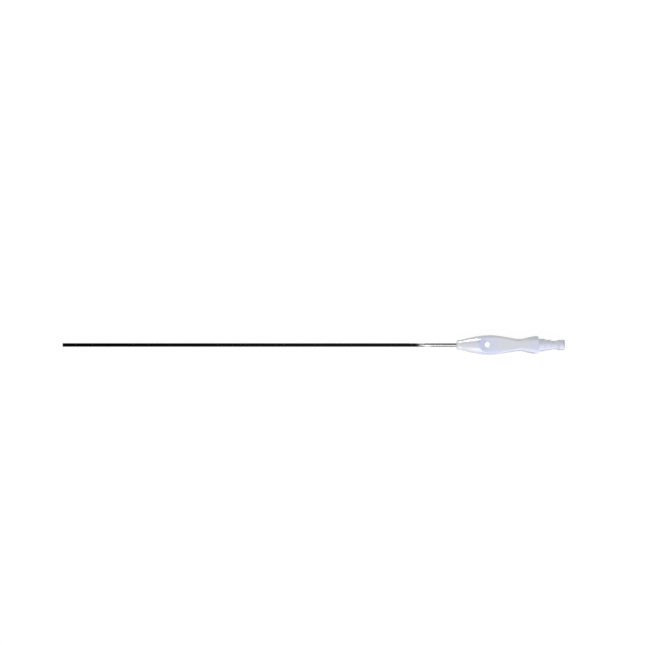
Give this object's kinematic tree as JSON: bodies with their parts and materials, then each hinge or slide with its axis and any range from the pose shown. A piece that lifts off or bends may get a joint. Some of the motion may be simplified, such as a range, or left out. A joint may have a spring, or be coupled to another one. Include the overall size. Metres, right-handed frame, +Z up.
{
  "type": "straight yankauer suction tip",
  "caption": "Long straight suction tip: a thin steel tube in a black sleeve, in a white moulded handle with a thumb rest, a vent hole and a stepped nose for the hose.",
  "frame": {"origin": "middle of the footprint, on the surface that the tip lies on", "axes": "+X from the open tip back to the hose nose, +Z up out of the thumb rest with its vent, +Y across; the suction axis climbs towards +X by about 1.1 degrees"},
  "size_m": [0.4206, 0.0164, 0.0158],
  "materials": {
    "steel": "drawn and polished stainless steel",
    "black_film": "satin black shrink film",
    "white_plastic": "glossy white moulding with a cool tint"
  },
  "bodies": {
    "root": {"suction_tube": "steel", "black_sleeve": "black_film", "handle": "white_plastic"}
  },
  "joints": []
}
